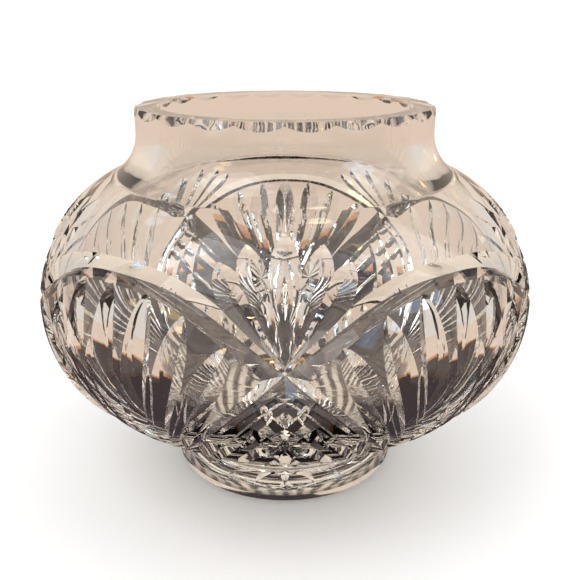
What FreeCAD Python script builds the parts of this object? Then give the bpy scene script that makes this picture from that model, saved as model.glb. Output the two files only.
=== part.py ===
import FreeCAD, Part
import math
import os

# A rose bowl of cut lead crystal: a thick blown bowl on a solid foot.
# The bowl has a five-fold pattern of mitre cuts, and a 22-scallop rim.
# Lengths are millimetres and angles are degrees.
# The origin is the centre of the foot's underside, and +Z is the axis.
# Azimuth 0 faces -Y and grows towards +X. Two bands cross there.

# Bowl, outside: two arcs lead from the belly to the neck, and one arc and a straight side to the foot
BOWL_DIAMETER = 180.0
BOWL_HEIGHT = 137.0
BELLY_HEIGHT = 70.0
NECK_LENGTH = 8.0
MOUTH_DIAMETER = 104.8
SHOULDER_ARC_SHARE = 0.74
BELLY_ARC_SHARE = 0.69

# Bowl, inside: the wall is thinner between belly and neck, where its two sides bend at other places
WALL = 8.5
INSIDE_SHOULDER_ARC_SHARE = 0.67
FLOOR_THICKNESS = 10.0
FLOOR_FILLET = 22.0
RIM_EDGE_BEVEL = 0.9

# Foot
FOOT_HEIGHT = 12.0
FOOT_DIAMETER = 87.0
JOINT_DIAMETER = 80.0
FOOT_WAIST_DIAMETER = 77.0
FOOT_EDGE_HEIGHT = 3.0
FOOT_EDGE_BEVEL = 0.8

# Mitre cuts: how deep each wheel goes, and half the width of a cut for each unit of its depth
BAND_DEPTH = 3.3
PALMETTE_DEPTH = 3.7
FAN_DEPTH = 3.9
SHORT_LEAF_DEPTH = 2.4
LATTICE_DEPTH = 2.0
CUT_SLOPE_SHARE = 1.25
CUT_OVERRUN = 2.5

# Rim scallops: each is a shallow flute down the outer edge, made by a wide wheel
SCALLOP_COUNT = 22
SCALLOP_DROP = 2.7
SCALLOP_INSET = 1.5
SCALLOP_RADIUS = 75.0
RIM_RING_SHARE = 0.75

# Star under the foot
STAR_COUNT = 20
STAR_DEPTH = 3.0
STAR_DIAMETER = 74.0
STAR_OVERRUN = 4.0

# Pattern: each place is an azimuth in degrees and a height as a share of the bowl's height
REPEATS = 5
HALF_REPEAT = 180.0 / REPEATS

# Band: degrees from the top of its arch, and the heights of its keel
BAND_ANGLES = (-16.0, -8.0, 0.0, 8.0, 16.0, 24.0, 30.0, 36.0, 42.0, 50.0, 57.0, 62.0, 66.0)
BAND_HEIGHT_SHARES = (0.690, 0.708, 0.712, 0.708, 0.690, 0.649, 0.604, 0.550, 0.482, 0.380,
                      0.288, 0.234, 0.165)
BAND_FADE_ANGLE = 60.0
BAND_STATIONS = 9

# Palmette above each crossing: one root, and the tip of each leaf
PALMETTE_ROOT_SHARE = 0.572
PALMETTE_TIP_ANGLES = (0.0, 8.5, 13.8)
PALMETTE_TIP_SHARES = (0.803, 0.785, 0.755)

# Fan under each arch: tip, middle, lower place and root, in degrees from the arch's centre
FAN_ANGLES = ((0.0, 0.0, 0.0, 0.0), (9.0, 6.7, 3.5, 1.7), (17.5, 12.3, 6.8, 3.5), (26.3, 17.6, 10.0, 5.3))
FAN_HEIGHT_SHARES = ((0.698, 0.430, 0.285, 0.205), (0.695, 0.430, 0.285, 0.205),
                     (0.664, 0.430, 0.285, 0.210), (0.616, 0.430, 0.290, 0.220))

# Short leaves between the fan's leaves: tip, middle and root
SHORT_LEAF_ANGLES = ((3.5, 2.9, 1.6), (11.1, 9.0, 4.8), (18.0, 14.2, 7.9))
SHORT_LEAF_SHARES = ((0.572, 0.430, 0.265), (0.556, 0.420, 0.265), (0.505, 0.400, 0.275))

# Lattice below each crossing: places along each groove, and its share of the full depth
LATTICE_ANGLES = ((3.2, 0.0, -3.2, -10.0, -20.0), (5.4, 3.1, 0.0, -3.2, -12.0), (6.0, 2.9, 0.0, -3.0, -6.0))
LATTICE_HEIGHT_SHARES = ((0.528, 0.497, 0.467, 0.379, 0.242), (0.510, 0.467, 0.423, 0.384, 0.262),
                         (0.432, 0.386, 0.328, 0.280, 0.235))
LATTICE_LINE_SHARES = (0.85, 0.85, 1.0)

# Depth of a cut along its keel, from its tip or upper end to its root, as shares of its full depth
LEAF_PLACE_SHARES = (0.0, 0.05, 0.13, 0.27, 0.45, 0.65, 0.84, 1.0)
PALMETTE_DEPTH_SHARES = (-0.08, 0.36, 0.74, 1.0, 1.0, 0.90, 0.70, 0.50)
FAN_DEPTH_SHARES = (-0.06, 0.40, 0.78, 1.0, 0.98, 0.84, 0.55, 0.0)
SHORT_LEAF_DEPTH_SHARES = (-0.08, 0.36, 0.74, 1.0, 1.0, 0.85, 0.5, 0.0)
LATTICE_PLACE_SHARES = (0.0, 0.15, 0.4, 0.7, 0.9, 1.0)
LATTICE_DEPTH_SHARES = (0.35, 0.8, 0.9, 1.0, 0.8, 0.2)

VECTOR = FreeCAD.Vector
ORIGIN = VECTOR(0, 0, 0)
UP = VECTOR(0, 0, 1)

belly_radius = BOWL_DIAMETER / 2
mouth_radius = MOUTH_DIAMETER / 2
joint_radius = JOINT_DIAMETER / 2


class Profile:
    """One side of the bowl's wall as tangent arcs, from the foot up to the mouth."""

    def __init__(self, inset, shoulder_share):
        # The two arcs above the belly are upright at their ends, which sets the sum of their radii.
        neck_rise = BOWL_HEIGHT - NECK_LENGTH - BELLY_HEIGHT
        narrowing = belly_radius - mouth_radius
        arcs_apart = (neck_rise ** 2 + narrowing ** 2) / (2 * narrowing)
        under_radius = (BELLY_HEIGHT - FOOT_HEIGHT) * BELLY_ARC_SHARE
        # The inset moves belly, underside and mouth into the wall by the same amount.
        self.belly_centre = (belly_radius - under_radius, BELLY_HEIGHT)
        self.belly_arc = under_radius - inset
        self.shoulder_arc = arcs_apart * shoulder_share
        self.shoulder_centre = (belly_radius - inset - self.shoulder_arc, BELLY_HEIGHT)
        self.mouth = mouth_radius - inset
        self.neck_arc = arcs_apart - self.shoulder_arc
        self.neck_centre = (self.mouth + self.neck_arc, BELLY_HEIGHT + neck_rise)
        across = self.neck_centre[0] - self.shoulder_centre[0]
        self.bend = (self.shoulder_centre[0] + self.shoulder_arc * across / arcs_apart,
                     BELLY_HEIGHT + self.shoulder_arc * neck_rise / arcs_apart)
        # The straight underside leaves the joint with the foot and is tangent to the belly arc.
        across = self.belly_centre[0] - joint_radius
        rise = self.belly_centre[1] - FOOT_HEIGHT
        apart = math.hypot(across, rise)
        self.slope = math.atan2(rise, across) - math.asin(under_radius / apart)
        self.tangent = (self.belly_centre[0] + self.belly_arc * math.sin(self.slope),
                        self.belly_centre[1] - self.belly_arc * math.cos(self.slope))
        self.start = (joint_radius - inset * math.sin(self.slope),
                      FOOT_HEIGHT + inset * math.cos(self.slope))

    def radius(self, height):
        """Radius of the surface at a height."""
        if height <= self.tangent[1]:
            return self.start[0] + (height - self.start[1]) / math.tan(self.slope)
        if height <= BELLY_HEIGHT:
            rise = height - BELLY_HEIGHT
            return self.belly_centre[0] + math.sqrt(self.belly_arc ** 2 - rise ** 2)
        if height <= self.bend[1]:
            rise = height - BELLY_HEIGHT
            return self.shoulder_centre[0] + math.sqrt(self.shoulder_arc ** 2 - rise ** 2)
        if height <= self.neck_centre[1]:
            rise = height - self.neck_centre[1]
            return self.neck_centre[0] - math.sqrt(self.neck_arc ** 2 - rise ** 2)
        return self.mouth

    def normal(self, height):
        """Radial and upward parts of the surface's outward normal at a height."""
        if height <= self.tangent[1]:
            return math.sin(self.slope), -math.cos(self.slope)
        if height <= BELLY_HEIGHT:
            up = (height - BELLY_HEIGHT) / self.belly_arc
            return math.sqrt(1 - up ** 2), up
        if height <= self.bend[1]:
            up = (height - BELLY_HEIGHT) / self.shoulder_arc
            return math.sqrt(1 - up ** 2), up
        if height <= self.neck_centre[1]:
            up = (self.neck_centre[1] - height) / self.neck_arc
            return math.sqrt(1 - up ** 2), up
        return 1.0, 0.0

    def edges(self, top):
        """Edges of this side, from its start up to a height on the straight neck."""
        return [line(self.start, self.tangent),
                arc(self.tangent, self.belly_centre, self.belly_arc, (self.slope - math.pi / 2) / 2,
                    (self.belly_centre[0] + self.belly_arc, BELLY_HEIGHT)),
                arc((self.shoulder_centre[0] + self.shoulder_arc, BELLY_HEIGHT), self.shoulder_centre,
                    self.shoulder_arc,
                    math.atan2(self.bend[1] - BELLY_HEIGHT, self.bend[0] - self.shoulder_centre[0]) / 2,
                    self.bend),
                arc(self.bend, self.neck_centre, self.neck_arc,
                    math.pi + math.atan2(self.neck_centre[1] - self.bend[1],
                                         self.neck_centre[0] - self.bend[0]) / 2,
                    (self.mouth, self.neck_centre[1])),
                line((self.mouth, self.neck_centre[1]), (self.mouth, top))]


def section(place):
    """A point of the half section, drawn in the plane of azimuth 0."""
    return VECTOR(0, -place[0], place[1])


def line(start, end):
    return Part.makeLine(section(start), section(end))


def arc(start, centre, radius, middle_angle, end):
    """An arc of the half section through its middle, given by its angle from the horizontal."""
    middle = (centre[0] + radius * math.cos(middle_angle), centre[1] + radius * math.sin(middle_angle))
    return Part.Arc(section(start), section(middle), section(end)).toShape()


def revolved(edges, degrees):
    face = Part.Face(Part.Wire(edges))
    return face.revolve(ORIGIN, UP, degrees)


outside = Profile(0, SHOULDER_ARC_SHARE)
inside = Profile(WALL, INSIDE_SHOULDER_ARC_SHARE)
ring_height = NECK_LENGTH * RIM_RING_SHARE
ring_base = BOWL_HEIGHT - ring_height
floor_height = FOOT_HEIGHT + FLOOR_THICKNESS


def bowl_wedge():
    """Half a repeat of the uncut bowl, below the rim's ring."""
    corner_radius = inside.start[0] + (floor_height - inside.start[1]) / math.tan(inside.slope)
    reach = FLOOR_FILLET * math.tan(inside.slope / 2)
    fillet_start = (corner_radius - reach, floor_height)
    fillet_end = (corner_radius + reach * math.cos(inside.slope), floor_height + reach * math.sin(inside.slope))
    fillet = arc(fillet_start, (fillet_start[0], floor_height + FLOOR_FILLET), FLOOR_FILLET,
                 (inside.slope - math.pi) / 2, fillet_end)
    inner = inside.edges(ring_base)
    inner[0] = line(fillet_end, inside.tangent)
    edges = [line((0, FOOT_HEIGHT), outside.start)]
    edges += outside.edges(ring_base)
    edges.append(line((outside.mouth, ring_base), (inside.mouth, ring_base)))
    edges += inner
    edges.append(fillet)
    edges.append(line(fillet_start, (0, floor_height)))
    edges.append(line((0, floor_height), (0, FOOT_HEIGHT)))
    return revolved(Part.sortEdges(edges)[0], HALF_REPEAT)


def on_bowl(angle, height):
    """A point on the bowl's outside, and its outward normal."""
    radius = outside.radius(height)
    out, up = outside.normal(height)
    side = math.sin(math.radians(angle))
    front = -math.cos(math.radians(angle))
    return VECTOR(radius * side, radius * front, height), VECTOR(out * side, out * front, up)


def smooth_path(places):
    """A curve through places given as angle and height, drawn flat at the belly's radius."""
    curve = Part.BSplineCurve()
    curve.interpolate([VECTOR(math.radians(angle) * belly_radius, height, 0) for angle, height in places])
    return curve


def angle_at(curve, at):
    return math.degrees(curve.value(at).x / belly_radius)


def point_at(curve, at):
    """A point on the bowl's outside, and its outward normal, at a place along a smooth path."""
    return on_bowl(angle_at(curve, at), curve.value(at).y)


def groove(curve, stations):
    """A mitre wheel's cut along a path on the bowl: stations are places along it and depths there."""
    first, last = curve.FirstParameter, curve.LastParameter
    step = (last - first) / 1000
    wires = []
    for share, depth in stations:
        at = first + (last - first) * share
        point, out = point_at(curve, at)
        along = point_at(curve, min(last, at + step))[0] - point_at(curve, max(first, at - step))[0]
        side = along.cross(out)
        side.normalize()
        half_width = (depth + CUT_OVERRUN) * CUT_SLOPE_SHARE
        keel = point - out * depth
        top = point + out * CUT_OVERRUN
        wires.append(Part.makePolygon([keel, top + side * half_width, top - side * half_width, keel]))
    return Part.makeLoft(wires, True, False)


def places_from(centre, turn, angles, shares):
    """Places on the bowl, from angles off a centre line and shares of the bowl's height."""
    return [(centre + turn * angle, BOWL_HEIGHT * share) for angle, share in zip(angles, shares)]


def stations_from(places, depths, full_depth):
    return [(place, full_depth * depth) for place, depth in zip(places, depths)]


def in_mirror(shape, angle):
    """The shape's mirror image across the upright plane at an azimuth."""
    across = VECTOR(math.cos(math.radians(angle)), math.sin(math.radians(angle)), 0)
    return shape.mirror(ORIGIN, across)


def band_cutter():
    """The right half of an arch centred one half repeat from azimuth 0, and on down to the foot."""
    curve = smooth_path(places_from(HALF_REPEAT, -1, BAND_ANGLES, BAND_HEIGHT_SHARES))
    first, last = curve.FirstParameter, curve.LastParameter
    # The cut starts a little before the arch's top, so that it runs across that plane.
    start = -BAND_ANGLES[0] / 2 / (BAND_ANGLES[-1] - BAND_ANGLES[0])
    stations = []
    for index in range(BAND_STATIONS + 1):
        share = start + (1 - start) * index / BAND_STATIONS
        angle = HALF_REPEAT - angle_at(curve, first + share * (last - first))
        fade = max(0.0, (angle - BAND_FADE_ANGLE) / (BAND_ANGLES[-1] - BAND_FADE_ANGLE))
        stations.append((share, BAND_DEPTH * (1 - fade)))
    return groove(curve, stations)


def palmette_cutters():
    """The right half of a palmette, with its middle leaf."""
    cutters = []
    stations = stations_from(LEAF_PLACE_SHARES, PALMETTE_DEPTH_SHARES, PALMETTE_DEPTH)
    for angle, share in zip(PALMETTE_TIP_ANGLES, PALMETTE_TIP_SHARES):
        middle_share = (share + PALMETTE_ROOT_SHARE) / 2
        places = places_from(0, 1, (angle, angle / 2, 0), (share, middle_share, PALMETTE_ROOT_SHARE))
        cutters.append(groove(smooth_path(places), stations))
    return cutters


def fan_cutters():
    """The half of a fan on the side of azimuth 0, with its middle leaf."""
    cutters = []
    stations = stations_from(LEAF_PLACE_SHARES, FAN_DEPTH_SHARES, FAN_DEPTH)
    for angles, shares in zip(FAN_ANGLES, FAN_HEIGHT_SHARES):
        cutters.append(groove(smooth_path(places_from(HALF_REPEAT, -1, angles, shares)), stations))
    stations = stations_from(LEAF_PLACE_SHARES, SHORT_LEAF_DEPTH_SHARES, SHORT_LEAF_DEPTH)
    for angles, shares in zip(SHORT_LEAF_ANGLES, SHORT_LEAF_SHARES):
        cutters.append(groove(smooth_path(places_from(HALF_REPEAT, -1, angles, shares)), stations))
    return cutters


def lattice_cutters():
    """The grooves under a crossing that fall to the left, parallel to one of the bands."""
    cutters = []
    lines = zip(LATTICE_ANGLES, LATTICE_HEIGHT_SHARES, LATTICE_LINE_SHARES)
    for angles, shares, line_share in lines:
        stations = stations_from(LATTICE_PLACE_SHARES, LATTICE_DEPTH_SHARES, LATTICE_DEPTH * line_share)
        cutters.append(groove(smooth_path(places_from(0, 1, angles, shares)), stations))
    return cutters


def is_side(face):
    """Whether a face lies in one of the two upright planes that bound the wedge."""
    for angle in (0, HALF_REPEAT):
        across = VECTOR(math.cos(math.radians(angle)), math.sin(math.radians(angle)), 0)
        # The limit is far under any wall of the bowl.
        limit = WALL / 10000
        if abs(face.CenterOfMass.dot(across)) > limit:
            continue
        if all(abs(vertex.Point.dot(across)) < limit for vertex in face.Vertexes):
            return True
    return False


def whole_from(wedge):
    """The ten wedges of the pattern, five of them mirrored, joined into one solid."""
    skin = Part.makeCompound([face for face in wedge.Faces if not is_side(face)])
    faces = []
    for half in (skin, in_mirror(skin, 0)):
        for repeat in range(REPEATS):
            copy = half.copy()
            copy.rotate(ORIGIN, UP, repeat * 2 * HALF_REPEAT)
            faces += copy.Faces
    shell = Part.Shell(faces)
    shell.sewShape()
    return Part.Solid(shell)


def rim_ring():
    """The top of the neck with its scalloped outer edge."""
    bevel = RIM_EDGE_BEVEL
    corners = [(inside.mouth, ring_base), (outside.mouth, ring_base), (outside.mouth, BOWL_HEIGHT),
               (inside.mouth + bevel, BOWL_HEIGHT), (inside.mouth, BOWL_HEIGHT - bevel)]
    edges = [line(corners[index], corners[(index + 1) % len(corners)]) for index in range(len(corners))]
    ring = revolved(edges, 360)
    # A flute's keel runs from the rim's top, inset from the edge, down to the neck's outside.
    slant = math.hypot(SCALLOP_INSET, SCALLOP_DROP)
    for index in range(SCALLOP_COUNT):
        angle = 2 * math.pi * index / SCALLOP_COUNT
        out = VECTOR(math.sin(angle), -math.cos(angle), 0)
        along = (out * SCALLOP_INSET - UP * SCALLOP_DROP) / slant
        away = (out * SCALLOP_DROP + UP * SCALLOP_INSET) / slant
        keel_top = out * (mouth_radius - SCALLOP_INSET) + UP * BOWL_HEIGHT
        start = keel_top + away * SCALLOP_RADIUS - along * mouth_radius
        ring = ring.cut(Part.makeCylinder(SCALLOP_RADIUS, 2 * mouth_radius, start, along))
    return ring


def cut_wedge():
    """The half repeat with every cut that reaches into it."""
    wedge = bowl_wedge()
    palmette = palmette_cutters()
    fan = fan_cutters()
    own = [band_cutter()] + palmette + fan + lattice_cutters()
    for cutter in own + [in_mirror(cutter, 0) for cutter in own]:
        before = wedge.Volume
        wedge = wedge.cut(cutter)
        if wedge.Volume > before or len(wedge.Solids) != 1:
            raise RuntimeError("a cut of the bowl went wrong")
    for cutter in fan:
        wedge = wedge.cut(in_mirror(cutter, HALF_REPEAT))
    return wedge


def make_bowl():
    body = whole_from(cut_wedge())
    return body.fuse(rim_ring()).Solids[0]


def star_cutter(index):
    """One ray of the star: a mitre cut that is deepest at the foot's centre."""
    angle = 2 * math.pi * index / STAR_COUNT
    out = VECTOR(math.sin(angle), -math.cos(angle), 0)
    side = UP.cross(out)
    wires = []
    for place, depth in ((0, STAR_DEPTH), (STAR_DIAMETER / 2, 0)):
        half_width = (depth + STAR_OVERRUN) * CUT_SLOPE_SHARE
        keel = out * place + UP * depth
        low = out * place - UP * STAR_OVERRUN
        wires.append(Part.makePolygon([keel, low + side * half_width, low - side * half_width, keel]))
    return Part.makeLoft(wires, True, True)


def make_foot():
    foot_radius = FOOT_DIAMETER / 2
    waist_radius = FOOT_WAIST_DIAMETER / 2
    bevel = FOOT_EDGE_BEVEL
    edge_top = (foot_radius, FOOT_EDGE_HEIGHT)
    top = (joint_radius, FOOT_HEIGHT)
    waist = (waist_radius, (FOOT_EDGE_HEIGHT + FOOT_HEIGHT) / 2)
    edges = [line((0, 0), (foot_radius - bevel, 0)),
             line((foot_radius - bevel, 0), (foot_radius, bevel)),
             line((foot_radius, bevel), edge_top),
             Part.Arc(section(edge_top), section(waist), section(top)).toShape(),
             line(top, (0, FOOT_HEIGHT)),
             line((0, FOOT_HEIGHT), (0, 0))]
    foot = revolved(edges, 360)
    for index in range(STAR_COUNT):
        foot = foot.cut(star_cutter(index))
    return foot.Solids[0]


def check(name, solid):
    if not solid.isValid() or solid.Volume <= 0:
        raise RuntimeError(name + " is not a valid solid")
    print(name, "volume", round(solid.Volume), "faces", len(solid.Faces))


def main():
    os.makedirs("parts", exist_ok=True)
    for name, make in (("bowl", make_bowl), ("foot", make_foot)):
        solid = make()
        check(name, solid)
        solid.exportStep("parts/" + name + ".step")


main()
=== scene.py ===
import math

import bmesh
import bpy
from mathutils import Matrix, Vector
from mathutils import kdtree


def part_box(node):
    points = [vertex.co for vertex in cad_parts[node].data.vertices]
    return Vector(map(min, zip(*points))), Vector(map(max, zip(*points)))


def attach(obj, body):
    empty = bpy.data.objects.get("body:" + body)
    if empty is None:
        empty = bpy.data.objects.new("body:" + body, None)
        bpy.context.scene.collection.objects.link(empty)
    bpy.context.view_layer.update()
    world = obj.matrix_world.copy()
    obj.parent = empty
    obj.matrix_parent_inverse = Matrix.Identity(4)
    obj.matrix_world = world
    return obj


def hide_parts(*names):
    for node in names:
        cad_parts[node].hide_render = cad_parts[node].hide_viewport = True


bl_info = {
    "name": "Cut Crystal Rose Bowl",
    "version": (1, 0, 0),
    "blender": (4, 5, 0),
    "location": "3D View > Sidebar > Rose Bowl",
    "description": "Makes a footed rose bowl of cut crystal, with its stage and camera",
    "category": "Add Mesh",
}

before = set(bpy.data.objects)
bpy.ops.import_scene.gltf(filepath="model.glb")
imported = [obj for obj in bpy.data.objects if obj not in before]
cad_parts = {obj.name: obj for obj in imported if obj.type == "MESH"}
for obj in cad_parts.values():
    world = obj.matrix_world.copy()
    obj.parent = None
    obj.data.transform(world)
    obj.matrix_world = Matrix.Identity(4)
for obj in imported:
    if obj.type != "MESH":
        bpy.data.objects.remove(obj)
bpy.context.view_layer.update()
bowl_low, bowl_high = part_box("bowl")
foot_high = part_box("foot")[1]

MM = 0.001


# Settings


class BowlSettings(bpy.types.PropertyGroup):
    diameter: bpy.props.FloatProperty(
        name="Diameter", description="Largest outside diameter of the bowl",
        default=bowl_high[0] - bowl_low[0], unit="LENGTH")
    height: bpy.props.FloatProperty(
        name="Height", description="Height of the rim above the table",
        default=bowl_high[2], unit="LENGTH")
    belly_height: bpy.props.FloatProperty(
        name="Belly Height", description="Height of the widest place above the table",
        default=0.070, unit="LENGTH")
    neck_length: bpy.props.FloatProperty(
        name="Neck Length", description="Length of the straight part of the neck",
        default=0.008, unit="LENGTH")
    mouth_diameter: bpy.props.FloatProperty(
        name="Mouth Diameter", description="Outside diameter of the neck",
        default=0.1048, unit="LENGTH")
    wall: bpy.props.FloatProperty(
        name="Wall", description="Thickness of the glass",
        default=0.0085, unit="LENGTH")
    floor: bpy.props.FloatProperty(
        name="Floor", description="Thickness of the bowl's floor above the foot",
        default=0.010, unit="LENGTH")
    repeats: bpy.props.IntProperty(
        name="Repeats", description="How many times the cut pattern repeats round the bowl",
        default=5, min=3)
    scallops: bpy.props.IntProperty(
        name="Scallops", description="How many scallops are cut round the rim",
        default=22, min=3)
    band_depth: bpy.props.FloatProperty(
        name="Band Depth", description="Depth of the crossing bands", default=0.0033, unit="LENGTH")
    palmette_depth: bpy.props.FloatProperty(
        name="Palmette Depth", description="Depth of the leaves above each crossing",
        default=0.0037, unit="LENGTH")
    fan_depth: bpy.props.FloatProperty(
        name="Fan Depth", description="Depth of the long leaves under each arch",
        default=0.0039, unit="LENGTH")
    short_leaf_depth: bpy.props.FloatProperty(
        name="Short Leaf Depth", description="Depth of the short leaves between the long ones",
        default=0.0024, unit="LENGTH")
    lattice_depth: bpy.props.FloatProperty(
        name="Lattice Depth", description="Depth of the grooves under each crossing",
        default=0.0020, unit="LENGTH")


class FootSettings(bpy.types.PropertyGroup):
    diameter: bpy.props.FloatProperty(
        name="Diameter", description="Outside diameter of the foot", default=0.087, unit="LENGTH")
    waist_diameter: bpy.props.FloatProperty(
        name="Waist Diameter", description="Diameter of the foot at its narrowest",
        default=0.077, unit="LENGTH")
    joint_diameter: bpy.props.FloatProperty(
        name="Joint Diameter", description="Diameter of the joint between foot and bowl",
        default=0.080, unit="LENGTH")
    height: bpy.props.FloatProperty(
        name="Height", description="Height of the foot", default=foot_high[2], unit="LENGTH")
    star_rays: bpy.props.IntProperty(
        name="Star Rays", description="How many rays the star under the foot has", default=20, min=3)
    star_depth: bpy.props.FloatProperty(
        name="Star Depth", description="Depth of the star at its centre", default=0.003, unit="LENGTH")
    star_diameter: bpy.props.FloatProperty(
        name="Star Diameter", description="Diameter of the star", default=0.074, unit="LENGTH")


class GlassSettings(bpy.types.PropertyGroup):
    tint: bpy.props.FloatVectorProperty(
        name="Tint", description="Colour that the crystal gives to light",
        default=(0.985, 0.985, 0.98), size=3, subtype="COLOR", min=0.0, max=1.0)
    ior: bpy.props.FloatProperty(
        name="Refractive Index", description="Refractive index of the lead crystal", default=1.545)
    waviness: bpy.props.FloatProperty(
        name="Waviness", description="Height of the slow waves that blowing leaves in the glass",
        default=0.00018, unit="LENGTH")
    wheel_marks: bpy.props.FloatProperty(
        name="Wheel Marks", description="Height of the polished ripples that the wheel leaves in the cuts",
        default=0.00001, unit="LENGTH")
    scuffs: bpy.props.FloatProperty(
        name="Scuffs", description="Roughness of the worn ring that the foot stands on",
        default=0.06, min=0.0, max=1.0)


class StageSettings(bpy.types.PropertyGroup):
    floor_colour: bpy.props.FloatVectorProperty(
        name="Floor", description="Colour of the pale floor",
        default=(0.985, 0.98, 0.975), size=3, subtype="COLOR", min=0.0, max=1.0)
    table_colour: bpy.props.FloatVectorProperty(
        name="Table Card", description="Warm colour that the glass shows of what is behind and under it",
        default=(0.76, 0.60, 0.48), size=3, subtype="COLOR", min=0.0, max=1.0)


# Profile of the bowl, in millimetres


RIM_RING_SHARE = 0.75
RING_STITCH = 0.3
SHOULDER_ARC_SHARE = 0.74
INSIDE_SHOULDER_ARC_SHARE = 0.67
BELLY_ARC_SHARE = 0.69
FLOOR_FILLET = 22.0
RIM_EDGE_BEVEL = 0.9
SCALLOP_DROP = 2.7
SCALLOP_INSET = 1.5
SCALLOP_RADIUS = 75.0
# The flute's section reaches this share of the mouth's radius to each side.
SCALLOP_REACH_SHARE = 0.25
SCALLOP_STEPS = 32
# How far apart the points of the wall's section are, outside, inside and where normals are read
OUTSIDE_STEP = 2.0
INSIDE_STEP = 3.0
FINE_STEP = 0.05


def arc_points(centre, radius, start, end, count):
    """Points and outward normals along an arc between two angles. A hollow arc has a negative radius."""
    made = []
    for index in range(count + 1):
        angle = start + (end - start) * index / count
        out = (math.cos(angle), math.sin(angle))
        made.append(((centre[0] + radius * out[0], centre[1] + radius * out[1]), out))
    return made


def straight_points(start, end, out, step):
    """Points and one normal along a straight stretch, without its first point."""
    count = max(1, round(math.dist(start, end) / step))
    made = []
    for index in range(1, count + 1):
        share = index / count
        made.append(((start[0] + (end[0] - start[0]) * share, start[1] + (end[1] - start[1]) * share), out))
    return made


class Profile:
    """One side of the bowl's wall, as tangent arcs from the foot up to the mouth."""

    def __init__(self, bowl, foot, inset, shoulder_share):
        belly_radius = bowl.diameter / MM / 2
        mouth_radius = bowl.mouth_diameter / MM / 2
        joint_radius = foot.joint_diameter / MM / 2
        foot_height = foot.height / MM
        self.belly = bowl.belly_height / MM
        neck_rise = (bowl.height - bowl.neck_length) / MM - self.belly
        narrowing = belly_radius - mouth_radius
        apart = (neck_rise ** 2 + narrowing ** 2) / (2 * narrowing)
        under_radius = (self.belly - foot_height) * BELLY_ARC_SHARE
        self.belly_centre = (belly_radius - under_radius, self.belly)
        self.belly_arc = under_radius - inset
        self.shoulder_arc = apart * shoulder_share
        self.shoulder_centre = (belly_radius - inset - self.shoulder_arc, self.belly)
        self.mouth = mouth_radius - inset
        self.neck_arc = apart - self.shoulder_arc
        self.neck_centre = (self.mouth + self.neck_arc, self.belly + neck_rise)
        across = self.neck_centre[0] - self.shoulder_centre[0]
        self.bend_angle = math.atan2(neck_rise, across)
        self.bend_height = self.belly + self.shoulder_arc * math.sin(self.bend_angle)
        across = self.belly_centre[0] - joint_radius
        rise = self.belly - foot_height
        self.slope = math.atan2(rise, across) - math.asin(under_radius / math.hypot(across, rise))
        self.tangent = (self.belly_centre[0] + self.belly_arc * math.sin(self.slope),
                        self.belly - self.belly_arc * math.cos(self.slope))
        self.start = (joint_radius - inset * math.sin(self.slope), foot_height + inset * math.cos(self.slope))

    def radius(self, height):
        """Radius of the surface at a height."""
        if height <= self.tangent[1]:
            return self.start[0] + (height - self.start[1]) / math.tan(self.slope)
        if height <= self.belly:
            return self.belly_centre[0] + math.sqrt(self.belly_arc ** 2 - (height - self.belly) ** 2)
        if height <= self.bend_height:
            return self.shoulder_centre[0] + math.sqrt(self.shoulder_arc ** 2 - (height - self.belly) ** 2)
        if height <= self.neck_centre[1]:
            return self.neck_centre[0] - math.sqrt(self.neck_arc ** 2 - (height - self.neck_centre[1]) ** 2)
        return self.mouth

    def normal(self, height):
        """Radial and upward parts of the surface's normal at a height."""
        if height <= self.tangent[1]:
            return math.sin(self.slope), -math.cos(self.slope)
        if height <= self.belly:
            up = (height - self.belly) / self.belly_arc
        elif height <= self.bend_height:
            up = (height - self.belly) / self.shoulder_arc
        elif height <= self.neck_centre[1]:
            up = (self.neck_centre[1] - height) / self.neck_arc
        else:
            up = 0.0
        return math.sqrt(1 - up ** 2), up

    def arcs(self, step):
        """Points and normals from the lower end of the belly's arc to the upper end of the neck's arc."""
        under = arc_points(self.belly_centre, self.belly_arc, self.slope - math.pi / 2, 0,
                           round(self.belly_arc * (math.pi / 2 - self.slope) / step))
        shoulder = arc_points(self.shoulder_centre, self.shoulder_arc, 0, self.bend_angle,
                              round(self.shoulder_arc * self.bend_angle / step))
        neck = arc_points(self.neck_centre, -self.neck_arc, self.bend_angle, 0,
                          round(self.neck_arc * self.bend_angle / step))
        return under + shoulder[1:] + neck[1:]


def bowl_section(bowl, foot, step, inner_step):
    """Outer and inner line of the wall up to the rim's ring, with normals, and the height of the floor."""
    outer = Profile(bowl, foot, 0, SHOULDER_ARC_SHARE)
    inner = Profile(bowl, foot, bowl.wall / MM, INSIDE_SHOULDER_ARC_SHARE)
    ring_base = (bowl.height - bowl.neck_length * RIM_RING_SHARE) / MM
    out = (math.sin(outer.slope), -math.cos(outer.slope))
    outside = [(outer.start, out)]
    outside += straight_points(outer.start, outer.tangent, out, step)
    outside += outer.arcs(step)[1:]
    outside += straight_points(outside[-1][0], (outer.mouth, ring_base), (1.0, 0.0), step)
    floor = (foot.height + bowl.floor) / MM
    corner = inner.start[0] + (floor - inner.start[1]) / math.tan(inner.slope)
    reach = FLOOR_FILLET * math.tan(inner.slope / 2)
    centre = (corner - reach, floor + FLOOR_FILLET)
    count = round(FLOOR_FILLET * inner.slope / inner_step)
    inside = straight_points((0.0, floor), (corner - reach, floor), (0.0, -1.0), inner_step)
    inside += arc_points(centre, FLOOR_FILLET, -math.pi / 2, inner.slope - math.pi / 2, count)[1:]
    inside += straight_points(inside[-1][0], inner.tangent, out, inner_step)
    inside += inner.arcs(inner_step)[1:]
    inside += straight_points(inside[-1][0], (inner.mouth, ring_base), (1.0, 0.0), inner_step)
    # The inner side's normals point into the hollow.
    inside = [(place, (-normal[0], -normal[1])) for place, normal in inside]
    return outside, inside, floor


# Cuts, in millimetres and degrees


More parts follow.
